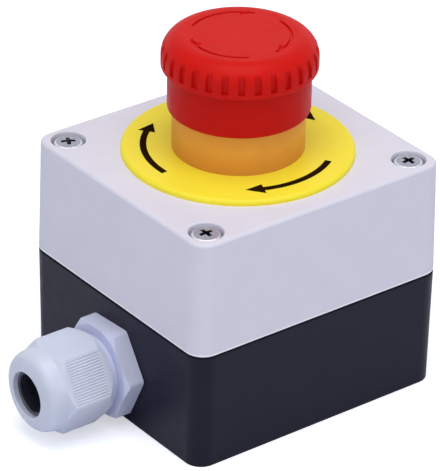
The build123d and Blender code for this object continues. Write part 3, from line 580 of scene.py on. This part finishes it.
head_moulding = {"grain": 0.15 * MM, "relief": 0.002 * MM, "specular": 0.08, "mottle": 0.02}
plastics = {
    "cover_plastic": dict(colour=(0.77, 0.745, 0.84), roughness=0.45, mottle=0.012),
    "base_plastic": dict(colour=(0.0060, 0.0050, 0.0180), roughness=0.36, specular=0.22, mottle=0.10),
    "head_red": dict(colour=(0.665, 0.009, 0.006), roughness=0.40, **head_moulding),
    "skirt_red": dict(colour=(0.61, 0.007, 0.003), roughness=0.38, **head_moulding),
    "collar_amber": dict(colour=(0.90, 0.40, 0.055), roughness=0.40, relief=0.002 * MM, mottle=0.03),
    "legend_yellow": dict(colour=(1.0, 0.84, 0.045), roughness=0.38, relief=0.002 * MM, mottle=0.01),
    "gland_nylon": dict(colour=(0.655, 0.685, 0.805), roughness=0.29, grain=0.9 * MM, relief=0.002 * MM,
                        specular=0.5, mottle=0.02, uneven=0.01),
    "gland_flange": dict(colour=(0.69, 0.715, 0.90), roughness=0.32, grain=0.9 * MM, relief=0.003 * MM,
                         specular=0.5, mottle=0.03, uneven=0.02),
    "black_rubber": dict(colour=(0.022, 0.022, 0.036), roughness=0.30, specular=0.6, mottle=0.12),
    "black_plastic": dict(colour=(0.02, 0.02, 0.022), roughness=0.45, mottle=0.1),
    "white_plastic": dict(colour=(0.72, 0.72, 0.69), roughness=0.42, mottle=0.02),
    "block_plastic": dict(colour=(0.03, 0.03, 0.034), roughness=0.5, mottle=0.1),
    "nc_plastic": dict(colour=(0.55, 0.03, 0.025), roughness=0.42, mottle=0.03),
    "no_plastic": dict(colour=(0.03, 0.30, 0.07), roughness=0.42, mottle=0.03),
    "legend_print": dict(colour=(0.022, 0.009, 0.002), roughness=0.7, relief=0.001 * MM, specular=0.0,
                         mottle=0.15),
}
metals = {
    "zinc_steel": dict(colour=(0.37, 0.385, 0.46), roughness=0.38, metallic=0.2, specular=0.3),
    # painted shade: a near-black steel in the cross recess, where shade falls
    "recess_shade_steel": dict(colour=(0.045, 0.045, 0.05), roughness=0.4),
    # painted highlight: a brighter, more metallic copy of the screw steel on the head's rounded edge
    "rim_highlight_steel": dict(colour=(0.70, 0.71, 0.77), roughness=0.32, metallic=0.7),
    "spring_steel": dict(colour=(0.42, 0.42, 0.43), roughness=0.34, stretch=(1.0, 1.0, 0.2)),
    "contact_brass": dict(colour=(0.72, 0.50, 0.22), roughness=0.30, stretch=(0.2, 1.0, 1.0)),
}


def paint_collar_shade_and_highlight(collar):
    """The collar has painted shade that darkens it towards the plate, and a faint broken mould line whose
    lighter colour is a painted highlight; it lets light in.
    """
    plate_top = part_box("legend_ring")[1].z
    painted_shade_height, shade_strength, painted_shade_amber = 6 * MM, 0.85, (0.70, 0.28, 0.05)
    line_height, line_half, mould_highlight_strength, mould_highlight_amber = 6.9 * MM, 0.12 * MM, 0.30, (1.0, 0.62, 0.30)
    broken_size, broken_low, broken_high = 9 * MM, 0.45, 0.62
    # painted shade: the amber darkens towards the plate, low on the collar where shade falls
    collar.tint(collar.ramp(collar.level(), plate_top, plate_top + painted_shade_height, (shade_strength, 0.0)), painted_shade_amber)
    # the mould line is real, but its lighter colour is a painted highlight along the raised line
    line = collar.line(plate_top + line_height, line_half)
    broken = collar.ramp(collar.noise(broken_size, 1.0), broken_low, broken_high, (0.0, mould_highlight_strength))
    collar.tint(collar.calculate("MULTIPLY", line, broken), mould_highlight_amber)
    collar.scatter(amount=0.35, radius=(1.0, 0.45, 0.12), scale=0.8 * MM)


def paint_seam_highlight_and_dull_base(cover, base):
    """The cover's lower edge has a painted highlight, a white band along it, and the base's upper edge is
    dull.
    """
    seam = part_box("enclosure_cover")[0].z
    painted_highlight_low, painted_highlight_high, white = 0.60 * MM, 0.80 * MM, (1.0, 1.0, 1.0)
    dull_low, dull_high, dullness = 0.60 * MM, 0.40 * MM, 0.6
    # painted highlight: the cover's lowest band is tinted white
    cover.tint(cover.ramp(cover.level(), seam + painted_highlight_low, seam + painted_highlight_high, (1.0, 0.0)), white)
    base.dull(base.ramp(base.level(), seam - dull_low, seam - dull_high, (0.0, dullness)))


def make_materials():
    made = {name: moulded(name, **look) for name, look in plastics.items()}
    made.update({name: metal(name, **look) for name, look in metals.items()})
    paint_collar_shade_and_highlight(made["collar_amber"])
    paint_seam_highlight_and_dull_base(made["cover_plastic"], made["base_plastic"])
    made["gland_nylon"].scatter(amount=0.4, radius=(0.8, 0.85, 1.0), scale=1.2 * MM)
    made["head_red"].scatter(amount=0.08, radius=(1.0, 0.1, 0.08), scale=0.4 * MM)
    return {name: finish.material for name, finish in made.items()}


def give(obj, *shown):
    """The object shows these materials: the first one all over, unless its faces name another."""
    # clearing an empty list would lose the faces' own choice
    if len(obj.data.materials):
        obj.data.materials.clear()
    for material in shown:
        obj.data.materials.append(material)


def dress_nodes(materials):
    """Each node of the frame gets the material of its slot."""
    for part in frame["record"]["subparts"]:
        give(nodes[part["node"]], materials[part["material_slot"]])
    give(nodes["gland_body"], materials["gland_flange"])


# Camera, floor and light

def make_camera():
    """The photograph's view: a long lens, turned a little about its axis."""
    azimuth, elevation, roll = (math.radians(v) for v in (-37.794, 29.5869, 1.1676))
    distance, focal_pixels, frame_height = 0.951887, 3693.74, 471
    aim_height, aim_right, aim_up = 41 * MM, -4.1185 * MM, -1.9726 * MM
    back = Vector((math.sin(azimuth) * math.cos(elevation), -math.cos(azimuth) * math.cos(elevation),
                   math.sin(elevation)))
    right = Vector((math.cos(azimuth), math.sin(azimuth), 0))
    up = back.cross(right)
    target = Vector((0, 0, aim_height)) + aim_right * right + aim_up * up
    data = bpy.data.cameras.new("camera")
    data.sensor_width = 36
    data.lens = focal_pixels / frame_height * data.sensor_width
    data.clip_start, data.clip_end = 0.05, 20
    camera = new_object("camera", data)
    x_axis = math.cos(roll) * right + math.sin(roll) * up
    y_axis = math.cos(roll) * up - math.sin(roll) * right
    turn = Matrix((x_axis, y_axis, back)).transposed().to_4x4()
    camera.matrix_world = Matrix.Translation(target + distance * back) @ turn
    bpy.context.scene.camera = camera


def seen_directly(tree, mirrored=("Is Glossy Ray", "Is Transmission Ray")):
    """1 for rays that look straight at the background or mirror it, 0 for the light that it gives."""
    path = tree.nodes.new("ShaderNodeLightPath")
    total = path.outputs["Is Camera Ray"]
    for name in mirrored:
        add = tree.nodes.new("ShaderNodeMath")
        add.operation = "MAXIMUM"
        tree.links.new(total, add.inputs[0])
        tree.links.new(path.outputs[name], add.inputs[1])
        total = add.outputs[0]
    return total


def make_world(light):
    """Soft light from all round, behind a background that is seen as white."""
    world = bpy.data.worlds.new("studio")
    bpy.context.scene.world = world
    world.use_nodes = True
    tree = world.node_tree
    lit = tree.nodes["Background"]
    lit.inputs["Color"].default_value = (0.86, 0.92, 1.0, 1.0)
    lit.inputs["Strength"].default_value = light
    white = tree.nodes.new("ShaderNodeBackground")
    white.inputs["Color"].default_value = (1.0, 1.0, 1.0, 1.0)
    white.inputs["Strength"].default_value = 1.0
    mix = tree.nodes.new("ShaderNodeMixShader")
    tree.links.new(seen_directly(tree), mix.inputs[0])
    tree.links.new(lit.outputs[0], mix.inputs[1])
    tree.links.new(white.outputs[0], mix.inputs[2])
    tree.links.new(mix.outputs[0], tree.nodes["World Output"].inputs["Surface"])


def make_floor():
    """A pale sheet that glows a little for the camera alone: it reads as white and keeps its shadow."""
    size, glow_strength = 3.0, 0.50
    patch_size, darker, lighter = 60 * MM, (0.83, 0.85, 0.93), (0.85, 0.87, 0.95)
    corners = [Vector((x * size, y * size, 0)) for x, y in ((-1, -1), (1, -1), (1, 1), (-1, 1))]
    mesh = bpy.data.meshes.new("floor")
    mesh.from_pydata(corners, [], [(0, 1, 2, 3)])
    floor = new_object("floor", mesh)
    made = Finish("floor_paper", roughness=0.9, specular=0.1)
    made.colour(made.noise(patch_size, 2.0), darker, lighter)
    glow = made.node("ShaderNodeEmission")
    glow.inputs["Color"].default_value = (1.0, 1.0, 1.0, 1.0)
    seen = seen_directly(made.tree, mirrored=())
    made.link(made.calculate("MULTIPLY", seen, glow_strength), glow.inputs["Strength"])
    both = made.node("ShaderNodeAddShader")
    made.link(made.shader.outputs[0], both.inputs[0])
    made.link(glow.outputs[0], both.inputs[1])
    made.link(both.outputs[0], made.tree.nodes["Material Output"].inputs["Surface"])
    give(floor, made.material)


def make_lamp(name, place, size, power, colour=(1.0, 1.0, 1.0)):
    """A square soft box that faces the object."""
    aim = Vector((0, 0, 0.04))
    data = bpy.data.lights.new(name, "AREA")
    data.shape = "SQUARE"
    data.size = size
    data.energy = power
    data.color = colour
    lamp = new_object(name, data)
    lamp.location = place
    lamp.rotation_euler = (aim - Vector(place)).to_track_quat("-Z", "Y").to_euler()


def make_studio():
    cool = (0.94, 0.96, 1.0)
    make_world(light=0.28)
    make_floor()
    make_lamp("top_box", place=(-0.10, -0.15, 1.1), size=0.9, power=8.0)
    make_lamp("left_box", place=(-1.0, -0.25, 0.55), size=0.7, power=1.8, colour=cool)
    make_lamp("right_box", place=(0.45, -1.0, 0.55), size=0.7, power=2.1, colour=cool)


# The parts of the scene

materials = make_materials()
dress_nodes(materials)


def add_piece(obj, body, node, slot, *others):
    """A piece on a body, in place of a node, that shows its slot's material and others on some faces."""
    give(obj, materials[slot], *(materials[name] for name in others))
    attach(obj, body)
    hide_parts(node)


add_piece(make_head(), "head", "mushroom_head", "head_red")
add_piece(make_cap_nut(), "gland_cap_nut", "gland_cap_nut", "gland_nylon")
add_piece(make_seal(), "gland_seal", "gland_seal", "black_rubber")
add_piece(make_screws(), "enclosure", "cover_screws", "zinc_steel", "recess_shade_steel", "rim_highlight_steel")

for node, joint, wire, active in (("return_spring", "button_press", 1.3 * MM, 4),
                                  ("nc_spring", "nc_contact_slide", 0.5 * MM, 3),
                                  ("no_spring", "no_contact_slide", 0.5 * MM, 3)):
    coil = make_spring(node, wire, active)
    add_piece(coil, "enclosure", node, "spring_steel")
    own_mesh(coil)

marks = make_legend_marks()
give(marks, materials["legend_print"])
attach(marks, "enclosure")

make_studio()
make_camera()
bpy.context.scene.view_settings.view_transform = "Standard"
